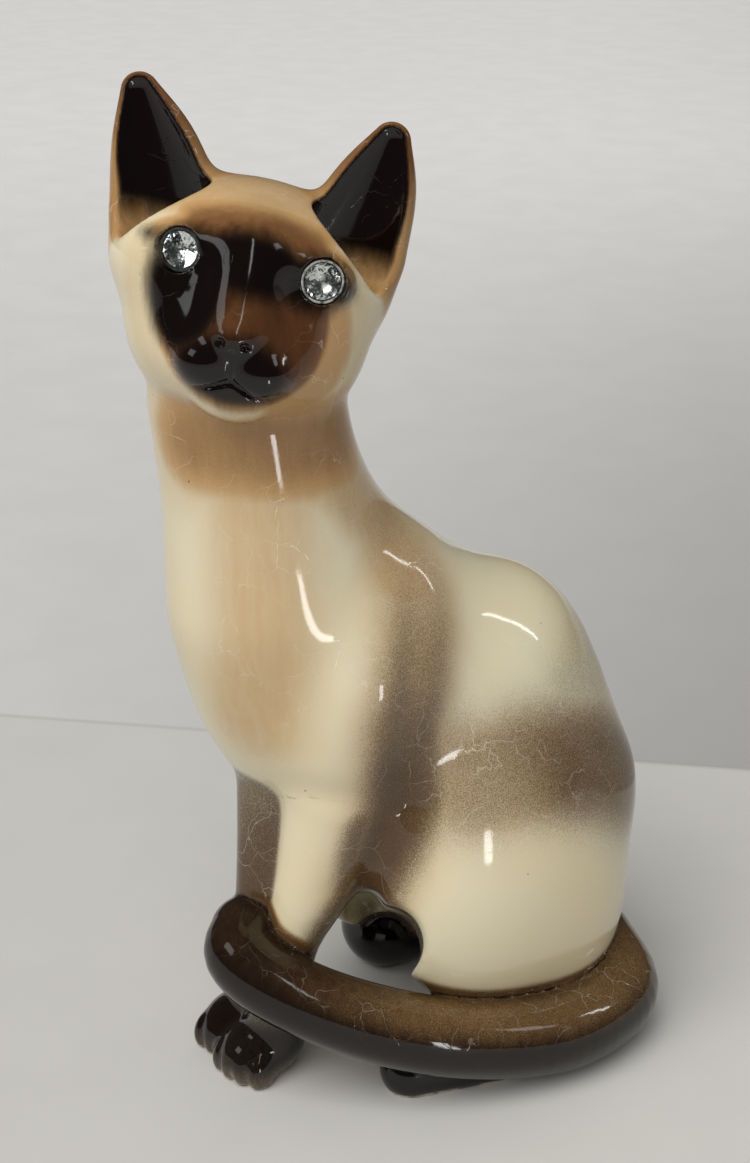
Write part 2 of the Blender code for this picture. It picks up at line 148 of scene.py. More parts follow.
def smallest(wires):
    joined = wires[0]
    for wire in wires[1:]:
        joined = joined.maths("MINIMUM", wire)
    return joined


# %% [markdown]
# ## Clay
# The castings are soft, round forms that run into each other. Pushing vertices about would take thousands of
# moves, so they are described as a modeller builds them: rolls and lumps of clay, melted together and carved.
# Each function returns the distance to the clay's surface in millimetres, negative inside, at any point.

# %% Rolls, lumps, melting and carving


def melt(wires, width):
    joined = wires[0]
    for wire in wires[1:]:
        joined = joined.maths("SMOOTH_MIN", wire, width)
    return joined


def carve(clay, tool, width):
    return clay.maths("SMOOTH_MAX", -tool, width)


def turned(point, angles):
    """The point seen from a frame that is turned by these angles."""
    return point.make("ShaderNodeVectorRotate", {"rotation_type": "EULER_XYZ", "invert": True},
                      {"Vector": point, "Rotation": tuple(angles)})


def lump(point, centre, radii, turn=(0, 0, 0)):
    """An ellipsoid, turned about its centre by angles in degrees."""
    local = point.vector("SUBTRACT", centre)
    if any(turn):
        local = turned(local, [math.radians(angle) for angle in turn])
    near = local.vector("DIVIDE", radii).vector("LENGTH", out=1)
    slope = local.vector("DIVIDE", [radius * radius for radius in radii]).vector("LENGTH", out=1)
    return near * (near - 1.0) / slope.maths("MAXIMUM", 0.001)


def roll(point, start, end, start_radius, end_radius):
    """A roll between two points, with a radius at each end and a straight taper between them."""
    along = Vector(end) - Vector(start)
    local = point.vector("SUBTRACT", start)
    share = local.vector("DOT_PRODUCT", along / along.length_squared, out=1)
    lean = (start_radius - end_radius) / along.length
    if lean:
        foot = share.make("ShaderNodeVectorMath", {"operation": "SCALE"}, {"Vector": along, "Scale": share})
        across = local.vector("SUBTRACT", foot).vector("LENGTH", out=1)
        share = share - across * (lean / math.sqrt(1 - lean * lean) / along.length)
    share = share.clamped()
    spine = share.make("ShaderNodeVectorMath", {"operation": "SCALE"}, {"Vector": along, "Scale": share})
    distance = local.vector("SUBTRACT", spine).vector("LENGTH", out=1)
    return distance - (share * (end_radius - start_radius) + start_radius)


def rolls(point, stations, width):
    """Rolls through stations of (place, radius), each melted into the next."""
    pairs = zip(stations, stations[1:])
    return melt([roll(point, a[0], b[0], a[1], b[1]) for a, b in pairs], width)


def curve_through(stations, pieces):
    """More stations, on a smooth curve through the given ones, so that a long roll has no knuckles."""
    values = [Vector((*place, radius)) for place, radius in stations]
    values = [2 * values[0] - values[1], *values, 2 * values[-1] - values[-2]]
    found = []
    for before, start, end, after in zip(values, values[1:], values[2:], values[3:]):
        for index in range(pieces):
            t = index / pieces
            found.append(((end - before) * t / 2 + (2 * before - 5 * start + 4 * end - after) * t * t / 2
                          + (3 * start - before - 3 * end + after) * t ** 3 / 2 + start))
    found.append(values[-2])
    return [(value[:3], value[3]) for value in found]


def long_roll(point, stations, pieces=4):
    stations = curve_through(stations, pieces)
    return smallest([roll(point, a[0], b[0], a[1], b[1]) for a, b in zip(stations, stations[1:])])


# %% [markdown]
# ## The body casting
# Ribs, chest, rump, two haunches and a spine that arches from the nape to the rump. The hips point towards
# -Y while the chest is turned to the cat's left, as a sitting cat turns to look at somebody.

# %% Body, neck and the hollow inside
SPINE = [((-8, -24, 150), 18), ((-1, -8, 130), 19), ((5, 10, 112), 24), ((10, 24, 96), 27),
         ((13, 32, 70), 30)]
NECK = [((-9, -30, 135), 24), ((-12, -35, 182), 23)]
RUMP_CENTRE = (10, 32, 44)
RUMP = (RUMP_CENTRE, (34, 30, 48), (0, 0, -12))
BELLY = ((7, 12, 88), (29, 34, 46), (-32, 0, -5))
RIBS = ((3, -14, 116), (25, 25, 34), (-20, 0, 5))
CHEST = ((-9, -30, 122), (25, 23, 44), (6, 0, 15))
HAUNCHES = [((x, y, z), (21, 33, 40), (-6, 0, -12)) for x, y, z in ((26, 12, 58), (-21, 20, 54))]
FLANK_FOLD = [((19, -9, 152), 2), ((26, -12, 142), 3.5), ((31, -17, 128), 4.5), ((33, -20, 114), 4.5),
              ((31, -20, 98), 4), ((27, -18, 84), 3)]
BELLY_ARCH = [((37, -34, 57), (-14, 8, 14), 9.5), ((34, -38, 66), (-17, 3, 26), 5)]
WIDE_MELT = 16
BODY_MELT = 12
WALL = 4.5
VENT_RADIUS = 6


def torso(point):
    body = melt([lump(point, *BELLY), lump(point, *RIBS)], WIDE_MELT)
    body = melt([body, lump(point, *CHEST), lump(point, *RUMP)], BODY_MELT)
    haunches = [lump(point, *haunch) for haunch in HAUNCHES]
    shoulder = roll(point, (8, -17, 114), (6, -21, 98), 19, 17)
    body = melt([body, *haunches, shoulder, long_roll(point, SPINE)], BODY_MELT)
    body = melt([body, rolls(point, NECK, 0)], WIDE_MELT)
    body = carve(body, long_roll(point, FLANK_FOLD), 6)
    arch = melt([roll(point, start, end, radius, radius) for start, end, radius in BELLY_ARCH], 3)
    return carve(body, arch, 3)


def hollow(point, body):
    """The drained inside of the cast, with the vent in the base that the slip was poured out of."""
    chamber = lump(in_head(point), (1, 9, -4), (23, 15, 17))
    inside = melt([body + WALL, chamber], 4).maths("MAXIMUM", WALL - point.part("Z"))
    across = point.vector("SUBTRACT", RUMP_CENTRE).vector("MULTIPLY", (1, 1, 0))
    vent = (across.vector("LENGTH", out=1) - VENT_RADIUS).maths("MAXIMUM", point.part("Z") - 3 * WALL)
    return smallest([inside, vent])


# %% [markdown]
# ## The head
# A Siamese head is a wide, shallow wedge: full cheeks, a flat brow and a short muzzle. It is built in its own
# frame, +X its left, -Y its face and +Z its crown, so that it can be tilted on the neck as one thing. A
# shallow orbit is pressed in for each eye, and a low mound in it carries the stone.

# %% Skull, muzzle and eye orbits
HEAD_CENTRE = (-11, -36, 209)
HEAD_TURN = Euler([math.radians(angle) for angle in (-8, 12, 46)])
EYES = {"right": (-13, 7), "left": (18.5, 7)}
EYE_TILT = 8
MOUTH_TOP = (4.2, -29.3, -17.2)
LIPS = [((-3, -26.8, -20.6), 0.7), (MOUTH_TOP, 0.9), ((11.6, -26.5, -20.4), 0.7)]
GROOVE_SOFTNESS = 1.2


def in_head(point):
    return turned(point.vector("SUBTRACT", HEAD_CENTRE), HEAD_TURN)


def skull(point):
    local = in_head(point)
    crown = lump(local, (1, 4, 3), (32.5, 29, 21))
    cheeks = lump(local, (3, 1, -11), (27.5, 27, 21))
    muzzle = lump(local, (4, -16, -14), (15, 13, 11.5))
    face = melt([melt([crown, cheeks], 9), muzzle], 9)
    for x, z in EYES.values():
        face = carve(face, lump(local, (0.9 * x, -30.5, z - 2), (11.5, 9.8, 9)), 6)
    bridge = rolls(local, [((2, -17, 10), 8), ((3.2, -24.5, -6), 6.5)], 0)
    face = melt([face, bridge], 9)
    pads = [lump(local, (x, -23.5, -14.5), (7, 7, 6)) for x in (-2.2, 9.8)]
    face = melt([face, melt(pads, 2)], 4)
    face = melt([face, lump(local, (4.6, -20.5, -22.5), (8, 6.5, 4.6))], 3)
    face = melt([face, lump(local, (3, -29.2, -7.6), (4, 3, 2.8))], 2.5)
    face = carve(face, rolls(local, LIPS, 0), GROOVE_SOFTNESS)
    face = carve(face, roll(local, MOUTH_TOP, (3.2, -31.3, -10.8), 0.7, 0.6), GROOVE_SOFTNESS)
    nostrils = [lump(local, (x, -31.4, -8.6), (1.3, 1.3, 0.8)) for x in (0.4, 6)]
    face = carve(face, smallest(nostrils), 0.8)
    mounds = [lump(local, (x, -15.8, z), (7.8, 5.2, 5.6), (0, math.copysign(EYE_TILT, x), 0))
              for x, z in EYES.values()]
    return melt([face, *mounds], 2)


# %% [markdown]
# ## Ears
# Each ear is a flat roll that narrows to a round tip. A second, smaller roll pushed in from the front hollows
# it and leaves a thin rim, as a thumb does in clay.

# %% Ears and their cups
EARS = {
    "right": [((-20.5, 6, 13), 13), ((-25.5, 6, 25), 9.8), ((-31, 6, 36.5), 4.4)],
    "left": [((22, 6, 13), 13), ((24.5, 6, 26), 9.8), ((26.2, 6, 38), 4.4)],
}
EAR_FLATNESS = 1.6
EAR_PIECES = 6
RIM = 1.5
CUP_SHARE = 0.95
CUP_LIFTS = (1, 0, 0.6)


def flat_roll(point, stations):
    flat = in_head(point).vector("MULTIPLY", (1, EAR_FLATNESS, 1))
    return long_roll(flat, stations, EAR_PIECES) / math.sqrt(EAR_FLATNESS)


def ear(point, side):
    return flat_roll(point, EARS[side])


def ear_cup(point, side):
    inner = [((x, y - CUP_SHARE * radius, z + lift), radius - RIM)
             for ((x, y, z), radius), lift in zip(EARS[side], CUP_LIFTS)]
    return flat_roll(point, inner)


# %% [markdown]
# ## Legs and tail
# The forelegs taper to the wrist and end in short paws of four toes. The tail leaves the rump, lies round the
# near side, climbs over the forepaws and ends against the far leg.

# %% Forelegs, hind feet and tail
FORELEG_LEFT = [((6, -22, 82), 15), ((2, -27.5, 58), 10.6), ((-2, -32.5, 40), 7.4), ((-4, -35, 26), 7.6),
                ((-6, -36, 10), 8)]
FORELEG_RIGHT = [((-11, -27, 100), 12), ((-11, -32, 66), 8.6), ((-13, -33, 40), 8), ((-17, -32, 10), 8.5)]
TAIL = [((24, 50, 17), 12), ((38, 45, 12.5), 12), ((43, 32, 11.4), 11.2), ((43, 16, 12.4), 10.6),
        ((37, -3, 16), 10.2), ((28, -19, 20.5), 10), ((15, -34, 27), 9.6), ((3, -43, 33), 9.6),
        ((-6, -45, 37.5), 10), ((-10, -41, 40.5), 9.6)]
PAW_MELT = 5
TOES = (-6.3, -2.1, 2.1, 6.3)


def foreleg_left(point):
    return melt([long_roll(point, FORELEG_LEFT), paw(point, (-8, -39.5, 6), 10)], PAW_MELT)


def foreleg_right(point):
    return melt([long_roll(point, FORELEG_RIGHT), paw(point, (-21, -36.5, 6), 16)], PAW_MELT)


def paw(point, centre, turn):
    """A paw of four toes, parted by shallow grooves."""
    local = turned(point.vector("SUBTRACT", centre), (0, 0, math.radians(turn)))
    whole = lump(local, (0, 0, 0), (9.2, 11.5, 8))
    toes = [lump(local, (x, -7.5 + abs(x) * 0.25, -2), (2.9, 4.6, 5.2)) for x in TOES]
    return melt([whole, melt(toes, 0.8)], 2)


def hind_foot_left(point):
    return roll(point, (33, 8, 6), (23.5, -14.5, 5), 8.5, 8)


def hind_foot_right(point):
    return roll(point, (-24, 38, 10), (-27, 19, 11.5), 11, 12.5)


def tail(point):
    return long_roll(point, TAIL, 5)


# %% [markdown]
# ## From clay to castings
# All castings are fired and glazed as one, so the joints are filled with slip and glaze. Each casting is
# therefore cut from the same melted figure: it keeps what is nearest to its own clay, and a little more,
# so that no joint shows.

# %% The melted figure
CLAY = {
    "torso": torso,
    "head": skull,
    "ear_left": lambda point: ear(point, "left"),
    "ear_right": lambda point: ear(point, "right"),
    "foreleg_left": foreleg_left,
    "foreleg_right": foreleg_right,
    "hind_foot_left": hind_foot_left,
    "hind_foot_right": hind_foot_right,
    "tail": tail,
}
FILLETS = {"torso": 1, "foreleg_left": 7, "foreleg_right": 5, "head": 5, "ear_left": 6, "ear_right": 6,
           "hind_foot_left": 3, "hind_foot_right": 3, "tail": 2}
NEIGHBOURS = {
    "torso": list(CLAY),
    "head": ["torso", "head", "ear_left", "ear_right"],
    "ear_left": ["head", "ear_left"],
    "ear_right": ["head", "ear_right"],
    "foreleg_left": ["torso", "foreleg_left", "foreleg_right", "tail"],
    "foreleg_right": ["torso", "foreleg_left", "foreleg_right", "tail"],
    "hind_foot_left": ["torso", "hind_foot_left", "tail"],
    "hind_foot_right": ["torso", "hind_foot_right"],
    "tail": ["torso", "foreleg_left", "foreleg_right", "hind_foot_left", "tail"],
}
LAP = 0.8
EYE_SEAT = -18
EYE_TURNS = {"left": math.radians(16), "right": math.radians(-16)}
SOCKET_RADIUS = 5.1
SOCKET_DEPTH = 3.4


def shape_group(name, shape, outputs=("Distance",)):
    """A shape as a node group, so that every casting's tree can use it as one node.

    A group with more than one output gets the clay's normal as well as the point.
    """
    group = bpy.data.node_groups.new(name, "GeometryNodeTree")
    group.interface.new_socket("Point", in_out="INPUT", socket_type="NodeSocketVector")
    group.interface.new_socket("Normal", in_out="INPUT", socket_type="NodeSocketVector")
    for output in outputs:
        group.interface.new_socket(output, in_out="OUTPUT", socket_type="NodeSocketFloat")
    point = add_node(group, "NodeGroupInput")
    if len(outputs) == 1:
        made = [shape(point)]
    else:
        made = shape(point, Wire(group, point.socket.node.outputs["Normal"]))
    add_node(group, "NodeGroupOutput", None, dict(enumerate(made)))
    return group


def shaped(point, group, normal=None):
    """The outputs of a shape group at a point."""
    inputs = {0: point, 1: normal} if normal else {0: point}
    first = point.make("GeometryNodeGroup", {"node_tree": group}, inputs)
    return [Wire(point.tree, socket) for socket in first.socket.node.outputs]


def stone_socket(local, side):
    """A round socket for a stone and its foil, along the eye's own axis."""
    x, z = EYES[side]
    eye = turned(local.vector("SUBTRACT", (x, EYE_SEAT, z)), (0, 0, EYE_TURNS[side]))
    across = eye.vector("MULTIPLY", (1, 0, 1)).vector("LENGTH", out=1) - SOCKET_RADIUS
    return across.maths("MAXIMUM", eye.part("Y") - SOCKET_DEPTH)


SHAPES = {name: shape_group(name, shape) for name, shape in CLAY.items()}
CUPS = {side: shape_group("cup " + side, lambda point, side=side: ear_cup(point, side))
        for side in EYES}
SOCKETS = {side: shape_group("socket " + side, lambda point, side=side: stone_socket(in_head(point), side))
           for side in EYES}


def figure(point, name, fillet):
    """The melted clay of the castings that meet here, with its carved details."""
    masses = {other: shaped(point, SHAPES[other])[0] for other in NEIGHBOURS[name]}
    clay = masses[NEIGHBOURS[name][0]]
    for other in NEIGHBOURS[name][1:]:
        clay = clay.maths("SMOOTH_MIN", masses[other], fillet * FILLETS[other])
    for side in ("left", "right"):
        if "ear_" + side in masses:
            softness = in_head(point).part("Z").step(12, 27, 5.0, 1.2)
            clay = carve(clay, shaped(point, CUPS[side])[0], softness)
        if name == "head":
            clay = carve(clay, shaped(point, SOCKETS[side])[0], 0.5)
    others = smallest([wire for other, wire in masses.items() if other != name])
    clay = clay.maths("MAXIMUM", (masses[name] - others) / 2 - LAP)
    clay = clay.maths("MAXIMUM", -point.part("Z"))
    if name == "torso":
        clay = clay.maths("MAXIMUM", -hollow(point, masses["torso"]))
    return clay


# %% [markdown]
# ## The airbrush and painted shade
# The stain goes on in three sprays, each thick in its middle and thinning out towards its edge. The ochre
# and seal sprays also carry painted shade: in the crease from shoulder to haunch, under the chin, by the
# near foreleg and under the far haunch. They are worked out where the clay is, and stored on each piece as
# numbers from 0 to 1 that the glaze reads.

# %% Where the sprays land


def spray(distance, core, edge):
    """Full where the distance is under core, thinning out softly to nothing at edge."""
    fade = distance.step(core, edge, 1.0, 0.0)
    return fade * fade * (3 - 2 * fade)


def near_path(point, stations):
    return smallest([roll(point, a, b, 0, 0) for a, b in zip(stations, stations[1:])])


CHEST_LINE = [(8, -47, 174), (9, -47, 153), (10, -48, 129), (4, -47, 108)]
# Under the chin: its sprays are partly stain, partly painted shade.
THROAT = [(-4, -54, 178), (10, -42, 176), (11, -24, 176)]
SHOULDER = [(11, -26, 168), (11, -13, 153), (20, -13, 142)]
# The crease from shoulder to haunch: its sprays are partly stain, partly painted shade.
CREASE = [(16, -10, 150), (24, -12, 137), (29, -17, 120), (29, -20, 107), (25, -18, 86), (16, -20, 60)]
HAUNCH_BAND = [(29, -12, 92), (36, -3, 90), (39, 7, 91), (43, 18, 90), (43, 32, 86), (40, 44, 78)]
BACK = [(40, 30, 105), (28, 44, 110), (12, 50, 100)]
# Path of the painted shade in the crease between the near foreleg and the body.
LEG_SHADE = [(20, -24, 78), (10, -24, 58), (6, -28, 42)]


def shape_at(point, name):
    return shaped(point, SHAPES[name])[0]


def ochre_stain_and_shade(point, normal):
    """Warm stain: thin it is tan, thicker it is brown, and thickest chestnut. In the crease and under the
    chin it is partly painted shade.
    """
    local = in_head(point)
    brow = spray(lump(local, (1, -4, 22), (24, 22, 8)), -3, 12) * 0.3
    brow = largest([brow, spray(lump(local, (4, -24, 14), (19, 9, 3)), -2, 10) * 0.66])
    mask = spray(lump(local, (5, -27, -4), (20, 14, 17)), -4, 7) * 0.88
    cheek = spray(lump(local, (17, -20, -9), (9, 9, 12)), 0, 9) * 0.36
    face = spray(lump(local, (3, -20, -2), (27, 14, 22)), 0, 9) * 0.14
    ears = spray(smallest([shape_at(point, "ear_left"), shape_at(point, "ear_right")]), 0.5, 8) * 0.5
    tips = ears * local.part("Z").step(18, 40, 1.0, 1.35)
    # Partly the neck's stain, partly painted shade under the chin.
    throat_stain_and_shade = spray(near_path(point, THROAT), 0, 24) * 0.52
    neck = spray(near_path(point, THROAT), 4, 38) * 0.16
    chest = spray(near_path(point, CHEST_LINE), 0, 28) * 0.24
    shoulder = spray(near_path(point, SHOULDER), 1, 22) * 0.26
    # Partly stain, partly painted shade in the crease from shoulder to haunch.
    flank_stain_and_shade = spray(near_path(point, CREASE), 2, 26) * 0.22
    band = spray(near_path(point, HAUNCH_BAND), 4, 26) * 0.2
    root = spray(shape_at(point, "tail"), 1, 6) * point.part("X").step(5, 45, 0.6, 0.36)
    return largest([brow, mask, cheek, face, tips, throat_stain_and_shade, neck, chest, shoulder, flank_stain_and_shade, band, root])


def seal_stain_and_shade(point, normal):
    """Dark stain, sprayed in dots. It is also painted shade: partly in the crease and under the chin, wholly
    by the near foreleg and under the far haunch.
    """
    # Partly stain, partly painted shade in the crease, strongest low down.
    crease_stain_and_shade = spray(near_path(point, CREASE), 1, 20) * point.part("Z").step(85, 150, 0.98, 0.36)
    shoulder = spray(near_path(point, SHOULDER), 1, 16) * 0.2
    # Partly stain, partly painted shade under the chin.
    throat_stain_and_shade = spray(near_path(point, THROAT), 0, 22) * 0.24
    band = spray(near_path(point, HAUNCH_BAND), 0, 33) * 0.78 * point.part("Y").step(-5, 25, 0.7, 1.1)
    back = spray(near_path(point, BACK), 2, 26) * 0.4
    far_leg = spray(shape_at(point, "foreleg_right"), 0.6, 4) * point.part("Z").step(60, 115, 0.99, 0.6)
    near_leg = spray(shape_at(point, "foreleg_left"), 0.6, 3) * point.part("Z").step(20, 42, 0.85, 0.0)
    # Painted shade in the crease between the near foreleg and the body.
    inner_leg_painted_shade = spray(near_path(point, LEG_SHADE), 3, 12) * 0.8
    tail_foot = spray(shape_at(point, "tail"), 1.5, 6) * 0.85
    # Painted shade under the far haunch, around the far hind foot.
    arch = spray(shape_at(point, "hind_foot_right"), 1, 14) * 0.97
    return largest([crease_stain_and_shade, shoulder, throat_stain_and_shade, band, back, far_leg, near_leg, inner_leg_painted_shade, tail_foot, arch])


def black_spray(point, normal):
    """Near-black stain, brushed on the mask, ears, tail and feet."""
    local = in_head(point)
    mask = [lump(local, (-10, -24, 0), (11, 11, 14)), lump(local, (3.5, -30, -15), (13, 12, 8.5)),
            lump(local, (3, -25, 8), (13, 9, 7.5)), lump(local, (18, -21, 6.5), (9, 8, 6.5)),
            roll(local, (18, -21, 6.5), (27, -16, 6.5), 3, 0.6),
            roll(local, (-13, -21, 8), (-23, -15, 9), 3, 0.6)]
    mask = spray(melt(mask, 2), -4, 5)
    cups = spray(smallest([shaped(point, cup)[0] for cup in CUPS.values()]), 0.1, 1.4)
    cups = cups * local.part("Z").step(4, 15, 0.0, 1.0)
    top = normal.part("Z").step(0.15, 0.85, 0.0, 1.0) * point.part("X").step(0, 44, 0.12, 0.8)
    tail_coat = spray(shape_at(point, "tail"), 0.4, 1.6) * (0.98 - top)
    feet = [spray(shape_at(point, name), 0.5, 2) for name in ("hind_foot_left", "hind_foot_right")]
    paws = spray(smallest([shape_at(point, "foreleg_left"), shape_at(point, "foreleg_right")]), 0.5, 2)
    paws = paws * point.part("Z").step(14, 26, 0.97, 0.0) * (1 - point.part("Z").step(1, 7, 0.5, 0.0))
    return largest([mask, cups, tail_coat, *feet, paws])


SPRAYS = {"ochre": ochre_stain_and_shade, "seal": seal_stain_and_shade, "black": black_spray}


def all_sprays(point, normal):
    return [amount(point, normal) for amount in SPRAYS.values()]


SPRAY_GROUP = shape_group("sprays", all_sprays, SPRAYS)

# %% [markdown]
# ## Casting a piece
# One Geometry Nodes tree makes one casting: a block of clay as a volume, its skin as a mesh that is drawn
# onto the exact surface, split into finer faces and drawn on again, and last the sprays. The grain of the
# clay and the fillets are named inputs of the tree, so a piece can be made coarser without touching it.

# %% The tree of a casting
PATTERN_MIDDLE = Vector((5.4, -0.5, 0))
REACH = {
    "torso": ((-50, -66, -2), (56, 74, 192)),
    "head": ((-54, -78, 160), (32, 8, 244)),
    "ear_left": ((-16, -38, 200), (32, 20, 262)),
    "ear_right": ((-52, -72, 200), (0, -10, 262)),
    "foreleg_left": ((-28, -66, -2), (28, -2, 108)),
    "foreleg_right": ((-38, -60, -2), (8, -8, 122)),
    "hind_foot_left": ((8, -34, -2), (54, 24, 24)),
    "hind_foot_right": ((-46, 0, -2), (-6, 60, 30)),
    "tail": ((-30, -64, -2), (60, 72, 62)),
}
GRAINS = {"torso": 2.4, "head": 1.1, "ear_left": 1.0, "ear_right": 1.0}
OTHER_GRAIN = 1.4


def casting_tree(name, material):
    tree = bpy.data.node_groups.new(name + " casting", "GeometryNodeTree")
    tree.interface.new_socket("Grain", in_out="INPUT", socket_type="NodeSocketFloat")
    tree.interface.new_socket("Fillet", in_out="INPUT", socket_type="NodeSocketFloat")
    tree.interface.new_socket("Geometry", in_out="OUTPUT", socket_type="NodeSocketGeometry")
    grain = add_node(tree, "NodeGroupInput")
    fillet = Wire(tree, grain.socket.node.outputs["Fillet"])
    place = add_node(tree, "GeometryNodeInputPosition")
    point = place.scaled(1 / MM).vector("ADD", PATTERN_MIDDLE)
    clay = figure(point, name, fillet)
    low, high = [Vector(corner) - PATTERN_MIDDLE for corner in REACH[name]]
    counts = {}
    for letter, length in zip("XYZ", high - low):
        rounding = {"rounding_mode": "CEILING"}
        counts["Resolution " + letter] = add_node(tree, "FunctionNodeFloatToInt", rounding,
                                                  {0: float(length) / grain})
    block = add_node(tree, "GeometryNodeVolumeCube", None,
                     {"Density": -clay, "Background": -1.0, "Min": low * MM, "Max": high * MM, **counts})
    skin = add_node(tree, "GeometryNodeVolumeToMesh", None, {"Volume": block, "Threshold": 0.0})
    normal = add_node(tree, "GeometryNodeInputNormal")
    settle = normal.scaled(clay * -MM)
    skin = add_node(tree, "GeometryNodeSetPosition", None, {"Geometry": skin, "Offset": settle})
    skin = add_node(tree, "GeometryNodeSubdivideMesh", None, {"Mesh": skin, "Level": 1})
    for _ in range(2):
        skin = add_node(tree, "GeometryNodeSetPosition", None, {"Geometry": skin, "Offset": settle})
    for spray_name, amount in zip(SPRAYS, shaped(point, SPRAY_GROUP, normal)):
        skin = add_node(tree, "GeometryNodeStoreNamedAttribute", {"data_type": "FLOAT", "domain": "POINT"},
                        {"Geometry": skin, "Name": spray_name, "Value": amount})
    skin = add_node(tree, "GeometryNodeSetShadeSmooth", None, {"Geometry": skin})
    skin = add_node(tree, "GeometryNodeRealizeInstances", None, {"Geometry": skin})
    skin = add_node(tree, "GeometryNodeSetMaterial", None, {"Geometry": skin, "Material": material})
    add_node(tree, "NodeGroupOutput", None, {0: skin})
    return tree


# %% [markdown]
# ## Glaze
# Under the glaze lies cream slip. Ochre stain goes from tan through brown to chestnut as it gets thicker.
# Seal brown is sprayed in dots, which show as grain where the spray is thin; together with ochre it also
# paints shade. The clear glaze is glossy, a little uneven, and crazed with hairlines in patches.

# %% The stains and the glaze
CREAM = (0.70, 0.605, 0.395)
CREAM_COOL = (0.69, 0.63, 0.45)
TAN = (0.48, 0.285, 0.115)
BROWN = (0.15, 0.062, 0.022)
CHESTNUT = (0.045, 0.016, 0.006)
SEAL_AND_SHADE = (0.072, 0.038, 0.016)
BLACK = (0.0040, 0.0020, 0.0016)
BARE_CLAY = (0.62, 0.55, 0.42)
CRAZE_COLOUR = (0.80, 0.76, 0.62)
SPECK_COLOUR = (0.05, 0.03, 0.02)
CRAZE_SIZE = 0.009
CRAZE_WIDTH = 0.00014
GLAZE_ROUGHNESS = 0.07
GLAZE_IOR = 1.45


def colour_mix(factor, first, second, blend="MIX"):
    wire = next(value for value in (factor, first, second) if isinstance(value, Wire))
    inputs = {0: factor, 6: first, 7: second}
    inputs = {key: (*value, 1) if isinstance(value, tuple) else value for key, value in inputs.items()}
    return wire.make("ShaderNodeMix", {"data_type": "RGBA", "blend_type": blend}, inputs, 2)


def noise(place, scale, detail=2.0, roughness=0.5, distortion=0.0, out=0):
    return place.make("ShaderNodeTexNoise", None,
                      {"Vector": place, "Scale": scale, "Detail": detail, "Roughness": roughness,
                       "Distortion": distortion}, out)


def sprayed_amount(tree, name):
    settings = {"attribute_type": "GEOMETRY", "attribute_name": name}
    return add_node(tree, "ShaderNodeAttribute", settings, None, 2)


def crazing(place, size, width):
    """Hairlines of the crazed glaze: 1 on a line."""
    bent = place.vector("ADD", noise(place, 90, 3, out=1).scaled(0.012))
    edge = place.make("ShaderNodeTexVoronoi", {"feature": "DISTANCE_TO_EDGE"},
                      {"Vector": bent, "Scale": 1 / size, "Randomness": 1.0})
    return edge.step(0.0, width / size, 1.0, 0.0)


def blank_material(name):
    """A new material, its tree, its shader and the place on the piece."""
    material = bpy.data.materials.new(name)
    material.use_nodes = True
    tree = material.node_tree
    return material, tree, tree.nodes["Principled BSDF"], add_node(tree, "ShaderNodeTexCoord", None, None, 3)


def glaze_material(name):
    material, tree, shader, place = blank_material(name)
    ochre, seal, black = [sprayed_amount(tree, spray_name) for spray_name in SPRAYS]
    grain = noise(place, 3800, 1.0, 0.6)
    cloud = noise(place, 45, 3.0)
    drag = noise(place.vector("MULTIPLY", (1.0, 1.0, 0.22)), 420, 3.0, 0.6)
    cream = colour_mix(noise(place, 22, 2.0).step(0.35, 0.65), CREAM, CREAM_COOL)
    ochre = (ochre + (drag - 0.5) * 0.1 * ochre.step(0.0, 0.3)).clamped()
    # Ochre stain, which in the crease and under the chin also carries painted shade.
    colour = colour_mix(ochre.step(0.0, 0.4), cream, TAN)
    colour = colour_mix(ochre.step(0.35, 0.72), colour, BROWN)
    colour = colour_mix(ochre.step(0.7, 1.0), colour, CHESTNUT)
    dots = grain.step(0.3, 0.7)
    seal = (seal + (cloud - 0.5) * 0.25 * seal.step(0.0, 0.3)).clamped()
    thick = ((seal * 1.7 - dots * 0.9).clamped() * 0.5 + seal * 0.5).clamped()
    # Seal brown: the dotted stain, and the painted shade that is sprayed with it.
    colour = colour_mix(thick, colour, SEAL_AND_SHADE)
    ragged = (black + (drag - 0.5) * 0.5 * (black * (1 - black) * 4)).clamped()
    ragged = (ragged - dots * 0.25 * (1 - ragged)).clamped()
    colour = colour_mix(ragged, colour, BLACK)
    line = crazing(place, CRAZE_SIZE, CRAZE_WIDTH) * noise(place, 90, 1.0).step(0.42, 0.62)
    colour = colour_mix(line * 0.22 * (1 - ragged), colour, CRAZE_COLOUR)
    speck = place.make("ShaderNodeTexVoronoi", {"feature": "F1"}, {"Vector": place, "Scale": 150.0})
    speck = speck.step(0.03, 0.06, 1.0, 0.0) * noise(place, 37, 1.0).step(0.52, 0.6)
    colour = colour_mix(speck * 0.8, colour, SPECK_COLOUR)
    height = place.part("Z")
    worn = height.step(0.0003, 0.0016, 1.0, 0.0) * noise(place, 260, 2.0).step(0.35, 0.55)
    colour = colour_mix(worn, colour, BARE_CLAY)
    tree.links.new(colour.socket, shader.inputs["Base Color"])
    rough = GLAZE_ROUGHNESS + worn * 0.4 + noise(place, 300, 2.0) * 0.03
    tree.links.new(rough.socket, shader.inputs["Roughness"])
    ripple = noise(place, 26, 1.0) * 0.6 + noise(place, 110, 2.0) * 0.05 - line * 0.03
    bump = ripple.make("ShaderNodeBump", None, {"Strength": 0.5, "Distance": 0.0012, "Height": ripple})
    tree.links.new(bump.socket, shader.inputs["Normal"])
    shader.inputs["IOR"].default_value = GLAZE_IOR
    shader.inputs["Coat Weight"].default_value = 0.15
    shader.inputs["Coat Roughness"].default_value = 0.03
    return material


# %% Cast every piece
collection = bpy.context.scene.collection


